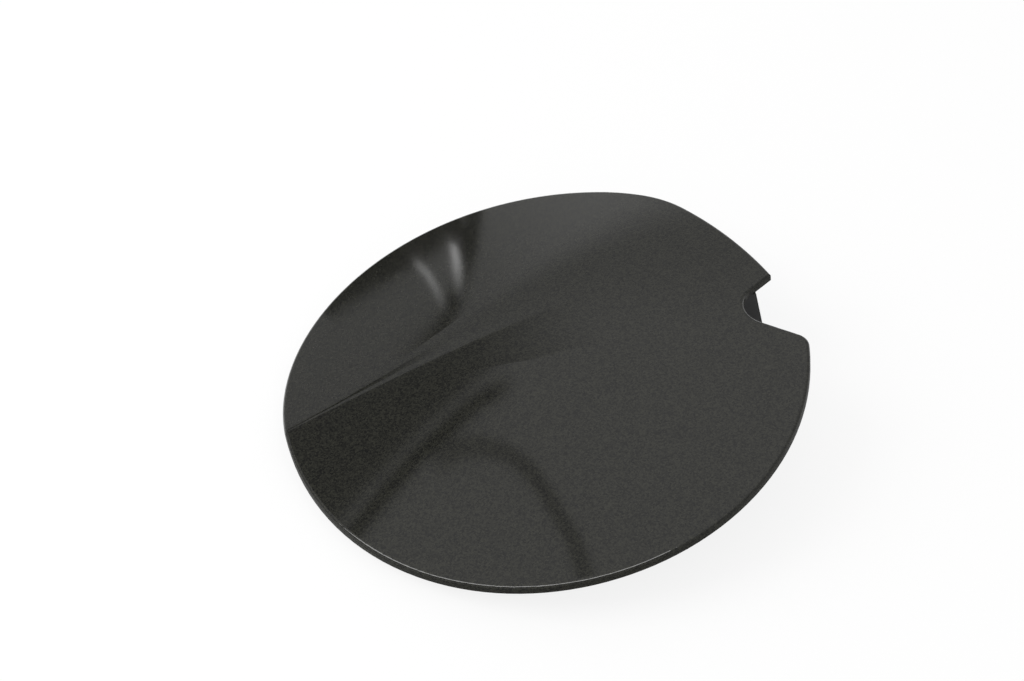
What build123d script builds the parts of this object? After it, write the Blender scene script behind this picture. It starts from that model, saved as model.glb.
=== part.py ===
"""Fuel filler flap: a painted outer panel with a black carrier staked to its back.

Millimetres. The origin is under the middle of the round outline, at the level of the latch tongue's foot.
+X points to the finger notch, away from the hinge, and +Z points out of the car body.
"""

import os
from math import cos, radians, sin, tan

from build123d import *

# Outer panel: a round outline with a finger notch, flattened beside the notch by a wider arc
flap_radius = 80.0
panel_wall = 2.8
rim_round = 1.2
flat_cut = 4.05
flat_radius = 150.0
flat_angle = 21.5
flat_blend = 40.0
notch_depth = 22.2
notch_side_shift = 1.8
notch_far_angle = 34.7
notch_near_angle = 37.5
notch_root_round = 8.3
notch_far_round = 2.5
notch_near_round = 4.5

# Character line: a crease that is sharp towards the hinge and soft towards the notch
ridge_height = 34.6
crease_angle = 15.0
crease_offset = 15.0
near_slope = 5.8
far_slope = 9.5
crease_sharp_radius = 12.0
crease_middle_radius = 134.0
crease_soft_radius = 670.0
crown_radius = 910.0
crown_apex = 30.0

# Carrier: a ribbed disc that follows the panel's back
bond_gap = 0.2
carrier_margin = 20.0
plate_wall = 2.2
rib_wall = 2.0
ring_rib_height = 4.0
ring_rib_opening = 80.0
spine_rib_drop = 15.6
spine_rib_pitch = 21.0
spine_setback = 14.0
cross_rib_pitch = 21.0
cross_rib_count = 4

# Latch tongue: a lug with a lock-pin eye, in line with one spine rib, beside the notch
tongue_wall = 3.0
tongue_setback = 11.6
tongue_lean = 6.8
tongue_root_length = 32.5
tongue_radius = 9.0
eye_radius = 5.0
tab_width = 12.0
tab_inset = 0.8
tab_corner_round = 4.0
brace_eye_gap = 2.0
brace_end_drop = 11.6
brace_inset = 1.5

# Sockets for the two prongs of the hinge arm
socket_pitch = 40.0
socket_setback = 20.0
socket_drop = 19.6
socket_wall = 2.4
slot_length = 26.0
slot_width = 14.0
slot_height = 6.6
snap_window_length = 7.0
snap_window_width = 8.0
snap_window_inset = 9.0

# Heat stakes that hold the carrier on the panel
stake_radius = 1.8
stake_clearance = 0.2
stake_inset = 9.0
stake_angles = (-130, -95, -32, 32, 95, 130)
stake_pad_margin = 1.3
stake_pad_height = 1.0
stake_head_radius = 3.3
stake_head_height = 1.6
stake_head_bevel = 1.0

# Rubber buffers in cups near the notch side
buffer_inset = 9.0
buffer_angle = 65.0
buffer_drop = 16.6
buffer_clearance = 0.1
buffer_stem_radius = 3.0
buffer_stem_length = 4.2
buffer_head_height = 3.4
buffer_head_bevel = 1.6
cup_wall = 2.1
cup_end_gap = 0.4

# Reach of the drawn skin past the outline, room cleared above it, and overlap of pieces to be trimmed
skin_margin = 30.0
headroom = 30.0
overlap = 1.0

# Plan places, from the middle of the flap
reach = flap_radius + skin_margin
carrier_radius = flap_radius - carrier_margin
tongue_outer_x = flap_radius - tongue_setback
tongue_inner_x = tongue_outer_x - tongue_root_length
tongue_near_y = (spine_rib_pitch - tongue_wall) / 2
tab_near_y = tongue_near_y + tab_inset
tab_outer_x = tongue_outer_x - tab_inset
socket_mouth_x = socket_setback - carrier_radius
socket_length = slot_length + socket_wall
spine_end_x = carrier_radius - spine_setback
cup_radius = buffer_stem_radius + buffer_clearance + cup_wall

# Levels: depths below the skin, and heights above the tongue's foot
bond_depth = panel_wall + bond_gap
plate_depth = bond_depth + plate_wall
stake_depth = plate_depth + stake_pad_height
spine_rib_foot = ridge_height - spine_rib_drop
socket_foot = ridge_height - socket_drop
slot_foot = socket_foot + socket_wall
cup_foot = ridge_height - buffer_drop
brace_foot = tongue_radius + eye_radius + brace_eye_gap

# The tongue's outer edge leans out from its root and runs into the round of its foot
tongue_overhang = (ridge_height - tongue_radius) * tan(radians(tongue_lean))
eye_x = tongue_outer_x + tongue_overhang - tongue_radius / cos(radians(tongue_lean))

os.makedirs("parts", exist_ok=True)


def crease_plane(along):
    """The upright plane across the crease, a distance along it from the middle of the flap."""
    turn = radians(crease_angle)
    origin = (
        along * cos(turn) - crease_offset * sin(turn),
        along * sin(turn) + crease_offset * cos(turn),
        0,
    )
    return Plane(origin=origin, x_dir=(-sin(turn), cos(turn), 0), z_dir=(cos(turn), sin(turn), 0))


def skin_slab(upper, lower):
    """The solid between two copies of the outer skin, lowered by upper and by lower."""
    sections = {-reach: crease_sharp_radius, 0: crease_middle_radius, reach: crease_soft_radius}
    with BuildPart() as slab:
        for along, ridge_radius in sections.items():
            ridge = ridge_height - (along - crown_apex) ** 2 / (2 * crown_radius)
            near = ridge - reach * tan(radians(near_slope))
            far = ridge - reach * tan(radians(far_slope))
            with BuildSketch(crease_plane(along)):
                with BuildLine():
                    FilletPolyline(
                        (-reach, near - upper), (0, ridge - upper), (reach, far - upper), radius=ridge_radius
                    )
                    Line((reach, far - upper), (reach, far - lower))
                    FilletPolyline(
                        (reach, far - lower), (0, ridge - lower), (-reach, near - lower), radius=ridge_radius
                    )
                    Line((-reach, near - lower), (-reach, near - upper))
                make_face()
        loft()
    return slab.part


def skin_layer(outline, upper, lower):
    """A plan outline cut from the skin's slab."""
    slab = skin_slab(upper, lower)
    with BuildPart() as layer:
        with BuildSketch():
            add(outline)
        extrude(amount=ridge_height + headroom)
        add(slab, mode=Mode.INTERSECT)
    return layer.part


def on_circle(radius, angle):
    """A plan point at an angle from +X."""
    return (radius * cos(radians(angle)), radius * sin(radians(angle)))


def back_height(x, y, depth):
    """Height of the skin lowered by a depth, over a plan point."""
    hits = whole_skin.find_intersection_points(Axis((x, y, 0), (0, 0, 1)))
    return max(point.Z for point, _ in hits) - depth


def mushroom(stem_radius, stem_length, head_radius, head_height, head_bevel):
    """A stem standing on a round head, with the head's seat at the origin and its bevelled foot below."""
    with BuildPart() as turned:
        with BuildSketch(Plane.XZ) as profile:
            with BuildLine():
                Polyline(
                    (0, stem_length),
                    (stem_radius, stem_length),
                    (stem_radius, 0),
                    (head_radius, 0),
                    (head_radius, -head_height),
                    (0, -head_height),
                    close=True,
                )
            make_face()
            foot_corner = profile.vertices().sort_by_distance((head_radius, 0, -head_height))[0]
            chamfer(foot_corner, head_bevel)
        revolve(axis=Axis.Z)
    return turned.part


# Seats of the stakes and the buffers
whole_skin = skin_slab(0, panel_wall)
stake_points = [on_circle(carrier_radius - stake_inset, angle) for angle in stake_angles]
stake_seats = [(x, y, back_height(x, y, stake_depth)) for x, y in stake_points]
buffer_points = [on_circle(carrier_radius - buffer_inset, angle) for angle in (-buffer_angle, buffer_angle)]

# Plan outline of the flap, with the notch's flanks running out past the rim
notch_root = (flap_radius - notch_depth, notch_side_shift)
flank_run = 2 * notch_depth
far_flank = (notch_root[0] + flank_run, notch_root[1] + flank_run * tan(radians(notch_far_angle)))
near_flank = (notch_root[0] + flank_run, notch_root[1] - flank_run * tan(radians(notch_near_angle)))
with BuildSketch() as flap_outline:
    Circle(flap_radius)
    with Locations(on_circle(flap_radius - flat_cut - flat_radius, flat_angle)):
        Circle(flat_radius, mode=Mode.INTERSECT)
    flat_end = flap_outline.vertices().sort_by(Axis.Y)[-1]
    fillet(flat_end, flat_blend)
    with BuildLine():
        Polyline(notch_root, far_flank, near_flank, close=True)
    make_face(mode=Mode.SUBTRACT)
    notch_mouth_x = flap_radius - notch_depth / 2
    mouth_corners = flap_outline.vertices().filter_by_position(Axis.X, notch_mouth_x, flap_radius)
    near_corner, far_corner = mouth_corners.sort_by(Axis.Y)
    fillet(near_corner, notch_near_round)
    fillet(far_corner, notch_far_round)
    root_corner = flap_outline.vertices().sort_by_distance(notch_root)[0]
    fillet(root_corner, notch_root_round)

# Outer panel: the outline cut from the skin, its rim rounded, with the stakes on its back
panel_layer = skin_layer(flap_outline.sketch, 0, panel_wall)
stake = mushroom(
    stake_radius, stake_depth - panel_wall / 2, stake_head_radius, stake_head_height, stake_head_bevel
)
with BuildPart() as outer_panel:
    add(panel_layer)
    wall_edges = outer_panel.faces().filter_by(lambda face: abs(face.normal_at().Z) < 0.5).edges()
    skin_edges = outer_panel.faces().filter_by(lambda face: face.normal_at().Z > 0.5).edges()
    fillet(wall_edges & skin_edges, rim_round)
    with Locations(*stake_seats):
        add(stake)

# Plan outlines of the carrier's plate, with the tab that carries the tongue, and of its ring rib
with BuildSketch() as plate_outline:
    Circle(carrier_radius)
    with Locations((0, tab_near_y)):
        Rectangle(tab_outer_x, tab_width, align=(Align.MIN, Align.MIN))
    tab_corner = plate_outline.vertices().sort_by_distance((tab_outer_x, tab_near_y + tab_width))[0]
    fillet(tab_corner, tab_corner_round)
with BuildSketch() as ring_outline:
    Circle(carrier_radius)
    Circle(carrier_radius - rib_wall, mode=Mode.SUBTRACT)
    with Locations((-carrier_radius, 0)):
        Rectangle(carrier_radius, ring_rib_opening, mode=Mode.SUBTRACT)

# Inner carrier: everything stands up through the bond face and is then trimmed flush with it
plate_layer = skin_layer(plate_outline.sketch, bond_depth - overlap, plate_depth)
ring_layer = skin_layer(ring_outline.sketch, plate_depth - overlap, plate_depth + ring_rib_height)
above_bond = skin_slab(-headroom, bond_depth)
with BuildPart() as inner_carrier:
    with BuildSketch(Plane.XY.offset(spine_rib_foot)):
        with Locations(((socket_mouth_x + spine_end_x) / 2, 0)):
            with GridLocations(0, spine_rib_pitch, 1, 2):
                Rectangle(spine_end_x - socket_mouth_x, rib_wall)
            with GridLocations(cross_rib_pitch, 0, cross_rib_count, 1):
                Rectangle(rib_wall, spine_rib_pitch)
    extrude(amount=ridge_height - spine_rib_foot)
    with BuildSketch(Plane.XY.offset(socket_foot)):
        with Locations((socket_mouth_x, 0)):
            with GridLocations(0, socket_pitch, 1, 2):
                Rectangle(socket_length, slot_width + 2 * socket_wall, align=(Align.MIN, Align.CENTER))
    extrude(amount=ridge_height - socket_foot)
    with BuildSketch(Plane(origin=(0, tongue_near_y, 0), x_dir=(1, 0, 0), z_dir=(0, -1, 0))):
        with Locations((eye_x, tongue_radius)):
            Circle(tongue_radius)
        with Locations((tongue_inner_x, spine_rib_foot)):
            Rectangle(
                tongue_outer_x - tongue_inner_x, ridge_height - spine_rib_foot, align=(Align.MIN, Align.MIN)
            )
        make_hull()
        with Locations((eye_x, tongue_radius)):
            Circle(eye_radius, mode=Mode.SUBTRACT)
    extrude(amount=-tongue_wall)
    with BuildSketch(Plane.YZ.offset(eye_x)):
        with BuildLine():
            Polyline(
                (tab_near_y, brace_foot),
                (tab_near_y + tab_width - brace_inset, ridge_height - brace_end_drop),
                (tab_near_y + tab_width - brace_inset, ridge_height),
                (tab_near_y, ridge_height),
                close=True,
            )
        make_face()
    extrude(amount=rib_wall / 2, both=True)
    for x, y, seat in stake_seats:
        with BuildSketch(Plane.XY.offset(seat)):
            with Locations((x, y)):
                Circle(stake_head_radius + stake_pad_margin)
        extrude(amount=ridge_height - seat)
    with BuildSketch(Plane.XY.offset(cup_foot)):
        with Locations(*buffer_points):
            Circle(cup_radius)
    extrude(amount=ridge_height - cup_foot)
    add(plate_layer)
    add(ring_layer)
    add(above_bond, mode=Mode.SUBTRACT)
    with BuildSketch():
        with Locations(*stake_points):
            Circle(stake_radius + stake_clearance)
    extrude(amount=ridge_height, mode=Mode.SUBTRACT)
    with BuildSketch(Plane.XY.offset(cup_foot)):
        with Locations(*buffer_points):
            Circle(buffer_stem_radius + buffer_clearance)
    extrude(amount=buffer_stem_length + cup_end_gap, mode=Mode.SUBTRACT)
    with BuildSketch(Plane.XY.offset(slot_foot)):
        with Locations((socket_mouth_x, 0)):
            with GridLocations(0, socket_pitch, 1, 2):
                Rectangle(slot_length, slot_width, align=(Align.MIN, Align.CENTER))
    extrude(amount=slot_height, mode=Mode.SUBTRACT)
    with BuildSketch(Plane.XY.offset(socket_foot)):
        with Locations((socket_mouth_x + snap_window_inset, 0)):
            with GridLocations(0, socket_pitch, 1, 2):
                Rectangle(snap_window_length, snap_window_width, align=(Align.MIN, Align.CENTER))
    extrude(amount=socket_wall, mode=Mode.SUBTRACT)

# Rubber buffers: a stem in the cup and a bevelled head under its rim
buffer_shape = mushroom(
    buffer_stem_radius, buffer_stem_length, cup_radius, buffer_head_height, buffer_head_bevel
)

outer_panel.part.label = "outer_panel"
export_step(outer_panel.part, "parts/outer_panel.step")
inner_carrier.part.label = "inner_carrier"
export_step(inner_carrier.part, "parts/inner_carrier.step")
for node, (x, y) in zip(("buffer_near", "buffer_far"), buffer_points):
    with BuildPart() as rubber_buffer:
        with Locations((x, y, cup_foot)):
            add(buffer_shape)
    rubber_buffer.part.label = node
    export_step(rubber_buffer.part, f"parts/{node}.step")
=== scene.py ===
# %% [markdown]
# # A painted fuel filler flap
# The flap is a shallow, gloss-painted disc with a character line, a finger notch and a black carrier on its
# back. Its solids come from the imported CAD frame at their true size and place, so this lesson only has to
# finish them: paint, moulded plastic and rubber, and a plain studio that shows a dark gloss surface well.

from math import cos, degrees, radians, sin

import bmesh
import bpy
from mathutils import Matrix, Vector
from mathutils.bvhtree import BVHTree


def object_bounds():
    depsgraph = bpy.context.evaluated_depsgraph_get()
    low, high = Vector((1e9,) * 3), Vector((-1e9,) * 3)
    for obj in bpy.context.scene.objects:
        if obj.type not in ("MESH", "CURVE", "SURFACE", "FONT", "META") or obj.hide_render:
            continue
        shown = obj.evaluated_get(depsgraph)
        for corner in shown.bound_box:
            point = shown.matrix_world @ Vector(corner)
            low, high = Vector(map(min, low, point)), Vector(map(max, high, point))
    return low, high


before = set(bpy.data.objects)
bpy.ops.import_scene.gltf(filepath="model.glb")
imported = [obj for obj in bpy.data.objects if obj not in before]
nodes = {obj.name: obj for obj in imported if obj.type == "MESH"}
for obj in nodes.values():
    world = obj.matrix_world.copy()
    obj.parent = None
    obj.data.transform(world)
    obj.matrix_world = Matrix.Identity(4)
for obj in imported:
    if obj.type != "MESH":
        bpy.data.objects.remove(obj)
cad_low, cad_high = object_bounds()
print("nodes:", sorted(nodes))
print("CAD box in mm:", [round(1000 * side, 1) for side in cad_high - cad_low])

# %% [markdown]
# A finish is mostly arithmetic: a noise made weaker, a distance turned into a mask. As nodes placed one by
# one that is hard to read, and a node group only hides it. So a small class lets an output socket stand in
# ordinary Python expressions. Each operator adds one Math node, and `node` adds a node of any other kind.

# %% Sockets that can be written in sums
class Value:
    """One output socket of a node tree, for use in expressions."""

    def __init__(self, tree, socket):
        self.tree = tree
        self.socket = socket

    def node(self, kind, output=0, settings=None, **inputs):
        """Add any node, feed its inputs by name, and return one of its outputs."""
        made = self.tree.nodes.new(kind)
        for name, setting in (settings or {}).items():
            setattr(made, name, setting)
        for name, given in inputs.items():
            feed(self.tree, made.inputs[name.replace("_", " ")], given)
        return Value(self.tree, made.outputs[output])

    def maths(self, operation, *given):
        """Add a Math node."""
        made = self.tree.nodes.new("ShaderNodeMath")
        made.operation = operation
        for socket, value in zip(made.inputs, given):
            feed(self.tree, socket, value)
        return Value(self.tree, made.outputs[0])

    def __add__(self, other):
        return self.maths("ADD", self, other)

    def __sub__(self, other):
        return self.maths("SUBTRACT", self, other)

    def __rsub__(self, other):
        return self.maths("SUBTRACT", other, self)

    def __mul__(self, other):
        return self.maths("MULTIPLY", self, other)

    def __pow__(self, other):
        return self.maths("POWER", self, other)

    def __rpow__(self, other):
        return self.maths("POWER", other, self)

    def __abs__(self):
        return self.maths("ABSOLUTE", self)

    __radd__ = __add__
    __rmul__ = __mul__

    def axis(self, letter):
        """One coordinate of a vector."""
        return self.node("ShaderNodeSeparateXYZ", output=letter, Vector=self)

    def fade(self, start, end):
        """A smooth step from 0 at start to 1 at end."""
        return self.node(
            "ShaderNodeMapRange",
            settings={"interpolation_type": "SMOOTHSTEP"},
            Value=self,
            From_Min=start,
            From_Max=end,
        )

    def spread(self, low, high):
        """A value from 0 to 1, stretched to run from low to high."""
        return low + (high - low) * self


def feed(tree, socket, given):
    """Link a Value to an input, or set the input to a constant."""
    if isinstance(given, Value):
        tree.links.new(given.socket, socket)
    else:
        socket.default_value = given


def source(tree, kind, output):
    """A node that takes no inputs, such as coordinates or the kind of a ray, as a Value."""
    return Value(tree, tree.nodes.new(kind).outputs[output])


# %% [markdown]
# Every finish starts the same way: a Principled BSDF with its constants set, and the object's own
# coordinates to vary it by. The solids carry their place in their vertices, so those coordinates are metres
# in the part's frame, and a pattern keeps its scale on every piece without any unwrapping.

# %% A new material
def new_material(name, **constants):
    """A material, its Principled BSDF, and the object coordinates as a Value."""
    material = bpy.data.materials.new(name)
    material.use_nodes = True
    tree = material.node_tree
    shader = tree.nodes["Principled BSDF"]
    for socket, value in constants.items():
        feed(tree, shader.inputs[socket.replace("_", " ")], value)
    return material, shader, source(tree, "ShaderNodeTexCoord", "Object")


def tint(tone, colour):
    """A colour scaled by a varying tone."""
    return tone.node(
        "ShaderNodeVectorMath", settings={"operation": "SCALE"}, Vector=colour, Scale=tone
    )


# %% [markdown]
# One faint scratch near the notch shows that the flap has been used. It could be cut into the mesh, but it
# is far shallower than the paint, so a mask is enough: a narrow smooth band across the scratch, times one
# along it.

# %% A scratch in the paint
scratch_place = (0.0641, -0.0228)
scratch_turn = radians(18.5)
scratch_length = 0.0092
scratch_width = 0.0003


def scratch_mask(place):
    """1 on the scratch and 0 elsewhere, from the place along and across it."""
    x = place.axis("X") - scratch_place[0]
    y = place.axis("Y") - scratch_place[1]
    along = x * cos(scratch_turn) + y * sin(scratch_turn)
    across = y * cos(scratch_turn) - x * sin(scratch_turn)
    return abs(along).fade(scratch_length / 2, 0) * abs(across).fade(scratch_width, 0)


# %% [markdown]
# The paint is a nearly black base coat with fine aluminium flake under a clear coat. A picture of flake
# would blur up close, so a Voronoi texture gives each cell, less than half a millimetre across, its own
# brightness, and the eye sees a slight grain. The clear coat is turned down where the surface faces
# sideways or down, as the surface's own normal tells: on the back it stands for the unpainted moulding, and
# on the rim's wall it is painted shade that darkens the wall's reflection.

# %% Paint on the outer panel
paint_colour = (0.0125, 0.0125, 0.0092)
flake_size = 0.00042
flake_tones = (0.1, 1.9)
scratch_tone = 1.1
# The clear coat fades between these slopes; the share left on the rim's wall is painted shade.
edge_slope = 0.1
face_slope = 0.75
wall_shade_coat = 0.2


def make_paint():
    material, shader, place = new_material(
        "gloss_paint",
        Metallic=0.3,
        Roughness=0.42,
        Specular_IOR_Level=0.0,
        Coat_Roughness=0.06,
        Coat_IOR=1.5,
    )
    tree = material.node_tree
    flake = place.node(
        "ShaderNodeTexVoronoi", output="Color", Vector=place, Scale=1 / flake_size
    )
    shine = flake.node("ShaderNodeSeparateColor", Color=flake)
    tone = shine.spread(*flake_tones) + scratch_mask(place) * scratch_tone
    # Painted shade: less clear coat on the rim's wall darkens its reflection; on the back it stands for
    # bare moulding.
    upward = source(tree, "ShaderNodeTexCoord", "Normal").axis("Z")
    coat_with_wall_shade = upward.fade(edge_slope, face_slope)
    feed(tree, shader.inputs["Base Color"], tint(tone, paint_colour))
    feed(tree, shader.inputs["Coat Weight"], coat_with_wall_shade.spread(wall_shade_coat, 1))
    return material


paint = make_paint()
print("paint nodes:", len(paint.node_tree.nodes))

# %% [markdown]
# The carrier is moulded in black plastic. Its mould was spark-eroded, which leaves shallow bumps of about
# half a millimetre that scatter the light, and it is a little shinier where the tool was polished. Bumps
# this shallow never show at the outline, so a Bump node is enough, and the mesh stays light.

# %% Moulded plastic on the carrier
plastic_colour = (0.012, 0.012, 0.0122)
plastic_tones = (0.8, 1.2)
plastic_roughness = (0.42, 0.67)
patches_per_metre = 60.0
grain_size = 0.0005
grain_depth = 0.00003
grain_strength = 0.35


def make_plastic():
    material, shader, place = new_material("moulded_plastic")
    tree = material.node_tree
    grain = place.node("ShaderNodeTexNoise", Vector=place, Scale=1 / grain_size, Detail=2.0)
    patches = place.node("ShaderNodeTexNoise", Vector=place, Scale=patches_per_metre, Detail=3.0)
    bump = grain.node("ShaderNodeBump", Height=grain, Strength=grain_strength, Distance=grain_depth)
    feed(tree, shader.inputs["Base Color"], tint(patches.spread(*plastic_tones), plastic_colour))
    feed(tree, shader.inputs["Roughness"], patches.spread(*plastic_roughness))
    feed(tree, shader.inputs["Normal"], bump)
    return material


plastic = make_plastic()
print("plastic nodes:", len(plastic.node_tree.nodes))

# %% [markdown]
# The buffers are soft black rubber. Rubber has hardly any sharp reflection, and a faint grey bloom comes to
# its surface with age. A slow noise lifts the tone in places, and its square keeps the bloom to small
# patches.

# %% Rubber on the buffers
rubber_colour = (0.011, 0.011, 0.0115)
rubber_tones = (0.8, 1.7)
rubber_roughness = (0.72, 0.92)
blooms_per_metre = 350.0


def make_rubber():
    material, shader, place = new_material("black_rubber")
    tree = material.node_tree
    bloom = place.node("ShaderNodeTexNoise", Vector=place, Scale=blooms_per_metre, Detail=4.0)
    feed(tree, shader.inputs["Base Color"], tint((bloom ** 2).spread(*rubber_tones), rubber_colour))
    feed(tree, shader.inputs["Roughness"], bloom.spread(*rubber_roughness))
    return material


rubber = make_rubber()
print("rubber nodes:", len(rubber.node_tree.nodes))

# %% [markdown]
# Each solid keeps its own mesh and takes one finish. The table also lists a slot name for each finish,
# which the loop does not use.

# %% Dress the solids
finishes = {
    "outer_panel": (paint, "paint"),
    "inner_carrier": (plastic, "carrier"),
    "buffer_near": (rubber, "buffer"),
    "buffer_far": (rubber, "buffer"),
}
for name, (material, slot) in finishes.items():
    nodes[name].data.materials.clear()
    nodes[name].data.materials.append(material)
print("finishes:", {name: material.name for name, (material, _) in finishes.items()})

# %% [markdown]
# Off the car the flap lies on its sockets and on the tip of its tongue, so the table isn't level in the
# part's frame. A physics run could drop it there. Its convex hull says the same at once: the hull's face
# straight under the middle is the plane that the flap rests on.

# %% Find the table
def resting_plane(start):
    """A point on the hull's face straight under start, and that face's normal, turned upwards."""
    hull = bmesh.new()
    for node in nodes.values():
        for vertex in node.data.vertices:
            hull.verts.new(vertex.co)
    bmesh.ops.convex_hull(hull, input=hull.verts)
    point, outward, _, _ = BVHTree.FromBMesh(hull).ray_cast(start, Vector((0, 0, -1)))
    hull.free()
    return point, -outward


middle = (cad_low + cad_high) / 2
rest_point, table_up = resting_plane(middle)
print("table tilt in degrees:", round(degrees(table_up.angle(Vector((0, 0, 1)))), 2))

# %% [markdown]
# The table, the room and the cards that follow have finishes with no Principled BSDF: each mixes a few
# plain shaders. They belong to the studio and not to the flap.

# %% Sheets of the studio
def bare_tree(owner):
    """The emptied node tree of a material or a world."""
    owner.use_nodes = True
    owner.node_tree.nodes.clear()
    return owner.node_tree


def mix_shaders(tree, share, first, second):
    """The first shader, mixed with a share of the second."""
    made = tree.nodes.new("ShaderNodeMixShader")
    for socket, given in zip(made.inputs, (share, first, second)):
        feed(tree, socket, given)
    return Value(tree, made.outputs[0])


def end_in(tree, kind, surface):
    """Close a tree with its output node."""
    feed(tree, tree.nodes.new(kind).inputs["Surface"], surface)


def stage_sheet(name, corners, faces, material):
    """A mesh that is part of the studio."""
    mesh = bpy.data.meshes.new(name)
    mesh.from_pydata(corners, [], faces)
    mesh.materials.append(material)
    sheet = bpy.data.objects.new(name, mesh)
    bpy.context.scene.collection.objects.link(sheet)
    return sheet


# %% [markdown]
# The table is one large plane in a pale white, shown to the camera almost as bright as paper in full light,
# so that only a light shadow stays. Further out it is paper alone, and no horizon shows. More light would
# whiten it too, but would bleach the flap. Seen from behind it is clear, and never hides the flap in a low
# view.

# %% Lay the table
table_half = 30.0
table_colour = (0.97, 0.97, 0.97, 1.0)
paper_share = 0.84
shadow_reach = 0.25
paper_reach = 0.75


def make_table_material():
    material = bpy.data.materials.new("pale_table")
    tree = bare_tree(material)
    place = source(tree, "ShaderNodeTexCoord", "Object")
    behind = source(tree, "ShaderNodeNewGeometry", "Backfacing")
    to_camera = source(tree, "ShaderNodeLightPath", "Is Camera Ray")
    away = place.node(
        "ShaderNodeVectorMath", output="Value", settings={"operation": "LENGTH"}, Vector=place
    )
    share = away.fade(shadow_reach, paper_reach).spread(paper_share, 1)
    matt = place.node("ShaderNodeBsdfDiffuse", Color=table_colour)
    paper = place.node("ShaderNodeEmission")
    clear = place.node("ShaderNodeBsdfTransparent")
    surface = mix_shaders(tree, to_camera * share, matt, paper)
    end_in(tree, "ShaderNodeOutputMaterial", mix_shaders(tree, behind, surface, clear))
    return material


table_turn = Vector((0, 0, 1)).rotation_difference(table_up).to_matrix()
table_corners = []
for x, y in ((-1, -1), (1, -1), (1, 1), (-1, 1)):
    table_corners.append(table_turn @ Vector((x, y, 0)) * table_half + rest_point)
stage_sheet("table", table_corners, [(0, 1, 2, 3)], make_table_material())
print("table side in metres:", 2 * table_half)

# %% [markdown]
# A gloss black surface shows its surroundings and little else. The room is bright and even, white to the
# camera, and reflections see it as a wall that grows lighter towards the ceiling.

# %% Build the room
room_level = 0.78
wall_level = 0.53
ceiling_level = 0.91
wall_top_sine = 0.5
ceiling_sine = 0.84


def make_room():
    room = bpy.data.worlds.new("studio")
    tree = bare_tree(room)
    to_camera = source(tree, "ShaderNodeLightPath", "Is Camera Ray")
    to_gloss = source(tree, "ShaderNodeLightPath", "Is Glossy Ray")
    height = source(tree, "ShaderNodeTexCoord", "Generated").axis("Z")
    mirrored = height.fade(wall_top_sine, ceiling_sine).spread(wall_level, ceiling_level)
    level = room_level + (1 - room_level) * to_camera + (mirrored - room_level) * to_gloss
    backdrop = level.node("ShaderNodeBackground", Color=(1, 1, 1, 1), Strength=level)
    end_in(tree, "ShaderNodeOutputWorld", backdrop)
    return room


scene = bpy.context.scene
scene.view_settings.view_transform = "Standard"
scene.world = make_room()
print("room nodes:", len(scene.world.node_tree.nodes))

# %% [markdown]
# A soft lamp at the left gives the shadow its direction. Its mirror image would be a white patch on the
# gloss, so reflections don't see it.

# %% Hang the key lamp
key_power = 7.0
key_size = 0.8
key_place = Vector((-0.8, 0.1, 1.0))

key_data = bpy.data.lights.new("key", "AREA")
key_data.energy = key_power
key_data.size = key_size
key = bpy.data.objects.new("key", key_data)
key.location = key_place
key.rotation_euler = (middle - key_place).to_track_quat("-Z", "Y").to_euler()
key.visible_glossy = False
scene.collection.objects.link(key)
print("key lamp distance in metres:", round((middle - key_place).length, 2))

# %% [markdown]
# Photographers shape a dark gloss with cards: sheets that the surface mirrors as darker or brighter fields.
# Painting those fields on the panel would be wrong from any other side. Here only reflections see the
# cards, and a card can fade out along an axis, as a sheet does that hangs out of focus.

# %% A card for reflections
def make_glow(name, level, fades):
    """An even glow that fades in along each (axis, clear place, full place)."""
    material = bpy.data.materials.new(name)
    tree = bare_tree(material)
    place = source(tree, "ShaderNodeTexCoord", "Object")
    glow = place.node("ShaderNodeEmission", Strength=level)
    clear = place.node("ShaderNodeBsdfTransparent")
    cover = 1.0
    for axis, clear_place, full_place in fades:
        cover = cover * place.axis(axis).fade(clear_place, full_place)
    end_in(tree, "ShaderNodeOutputMaterial", mix_shaders(tree, cover, clear, glow))
    return material


def hang_card(name, corners, faces, level, fades=()):
    """A sheet of even brightness that only reflections see."""
    card = stage_sheet(name, corners, faces, make_glow(name, level, fades))
    card.visible_camera = False
    card.visible_diffuse = False
    card.visible_transmission = False
    card.visible_shadow = False


# %% [markdown]
# A card is a polygon, or a strip of even width along a few points. Cards on one plane would show noise
# where they cross, so each hangs a little nearer to the flap than the one before it.

# %% Outlines for cards
card_gap = 0.01


def strip(points, width):
    """The outline of a strip of even width along a line of points."""
    line = [Vector(point) for point in points]
    sides = []
    for index in range(len(line)):
        run = line[min(index + 1, len(line) - 1)] - line[max(index - 1, 0)]
        sides.append(Vector((-run.y, run.x)).normalized() * width / 2)
    ahead = [point + side for point, side in zip(line, sides)]
    back = [point - side for point, side in zip(line, sides)]
    return ahead + back[::-1]


def hang_cards(cards, corner_at):
    """Hang cards, given as name: (outline, level, fades), with corners set by a rule for their plane."""
    for layer, (name, (outline, level, fades)) in enumerate(cards.items()):
        corners = [corner_at(across, along, layer * card_gap) for across, along in outline]
        hang_card(name, corners, [range(len(corners))], level, fades)
    print("cards:", list(cards))


# %% [markdown]
# The near half of the panel mirrors the ceiling: a dark flag with a pole along its edge, and the rim of an
# umbrella. The crease mirrors what hangs beyond the flag, a beam, squeezed into a thin line.

# %% Hang the ceiling cards
ceiling_height = 1.0

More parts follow.
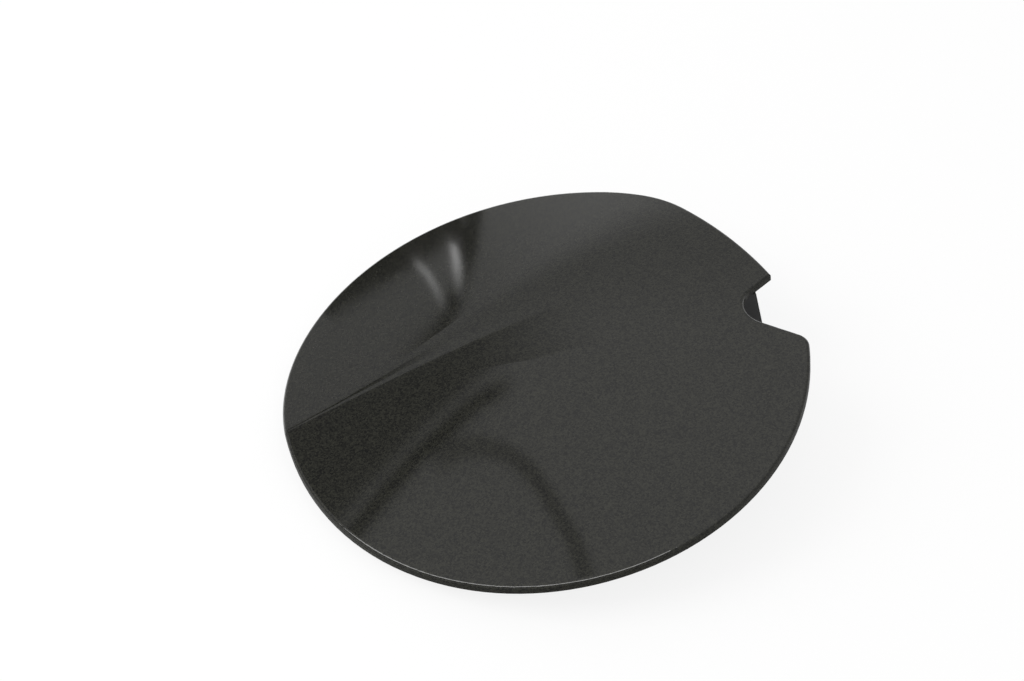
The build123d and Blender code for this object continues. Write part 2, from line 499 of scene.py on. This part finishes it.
flag = [(-0.45, 0.38), (-0.166, 0.529), (-0.02, 0.6), (0.3, 0.75), (0.3, 1.2), (-0.7, 0.85)]
pole = [(-0.33, 0.412), (-0.192, 0.489), (-0.09, 0.539), (-0.012, 0.568)]
umbrella_rim = [
    (-0.171, 0.473), (-0.127, 0.489), (-0.091, 0.489), (-0.06, 0.477),
    (-0.041, 0.458), (-0.025, 0.417), (-0.016, 0.379), (-0.017, 0.33),
]
beam = [(-0.9, 1.04), (-0.5, 1.19), (-0.1, 1.34)]
ceiling_cards = {
    "dark_flag": (flag, 0.27, [("X", 0.18, -0.13)]),
    "dark_pole": (strip(pole, 0.017), 0.02, [("X", 0.0, -0.06)]),
    "dark_rim": (strip(umbrella_rim, 0.024), 0.42, [("X", -0.19, -0.13)]),
    "dark_beam": (strip(beam, 0.2), 0.1, [("X", -0.15, -0.4)]),
}
hang_cards(ceiling_cards, lambda x, y, gap: (x, y, ceiling_height - gap))

# %% [markdown]
# The far half leans away from the camera and mirrors the back wall: a pale window at the right, a stand
# with a curved arm at the left, and two narrow lamps.

# %% Hang the wall cards
wall_distance = 1.2

window = [(-0.2, 0.3), (0.6, 0.3), (0.6, 0.85), (-0.2, 0.85)]
stand_arm = [
    (-0.05, 0.48), (-0.089, 0.533), (-0.138, 0.586),
    (-0.186, 0.624), (-0.231, 0.642), (-0.279, 0.651),
]
stand_foot = [
    (-0.33, 0.566), (-0.228, 0.548), (-0.153, 0.531),
    (-0.085, 0.513), (-0.06, 0.4), (-0.4, 0.4),
]
lamp = [(-0.172, 0.53), (-0.164, 0.545), (-0.164, 0.569), (-0.172, 0.6)]
tube = [(-0.107, 0.515), (-0.116, 0.535), (-0.14, 0.58)]
wall_cards = {
    "pale_window": (window, 0.84, [("X", -0.2, 0.18), ("Z", 0.78, 0.55)]),
    "dark_arm": (strip(stand_arm, 0.02), 0.03, [("X", -0.3, -0.2)]),
    "dark_foot": (stand_foot, 0.05, []),
    "bright_lamp": (strip(lamp, 0.011), 2.3, [("Z", 0.605, 0.54)]),
    "bright_tube": (strip(tube, 0.01), 4.0, [("Z", 0.585, 0.525)]),
}
hang_cards(wall_cards, lambda x, z, gap: (x, wall_distance - gap, z))

# %% [markdown]
# The rounded rim is little more than a millimetre wide, so it takes a long bright band to draw a line of
# light along it. The band runs round the flap from the left to the front, above the camera.

# %% Hang the band for the rim
band_radius = 1.0
band_low = 0.75
band_high = 1.3
band_from = 175
band_to = 300
band_steps = 24
band_level = 7.0

band_corners = []
for step in range(band_steps + 1):
    turn = radians(band_from + (band_to - band_from) * step / band_steps)
    for height in (band_low, band_high):
        band_corners.append((band_radius * cos(turn), band_radius * sin(turn), height))
band_faces = [(2 * step, 2 * step + 2, 2 * step + 3, 2 * step + 1) for step in range(band_steps)]
hang_card("rim_band", band_corners, band_faces, band_level)
print("band faces:", len(band_faces))

# %% [markdown]
# The camera looks down on the table from a little left of the flap's middle. A Track To constraint would
# aim it, but could not roll it, so its matrix is built from three axes: right, up and back.

# %% Place the camera
camera_place = Vector((-0.02342, -0.35785, 0.39842))
camera_aim = Vector((0.0312, 0.7057, -0.7078)).normalized()
camera_roll = radians(-1.0)

camera_data = bpy.data.cameras.new("camera")
camera_data.lens = 60.0
camera_data.sensor_width = 36.0
camera_data.clip_start = 0.01
camera = bpy.data.objects.new("camera", camera_data)
scene.collection.objects.link(camera)
right = camera_aim.cross(table_up).normalized()
right.rotate(Matrix.Rotation(camera_roll, 3, camera_aim))
up = right.cross(camera_aim).normalized()
camera_turn = Matrix((right, up, -camera_aim)).transposed().to_4x4()
camera.matrix_world = Matrix.Translation(camera_place) @ camera_turn
scene.camera = camera
print("camera looks down by degrees:", round(degrees(camera_aim.angle(table_up)) - 90, 1))
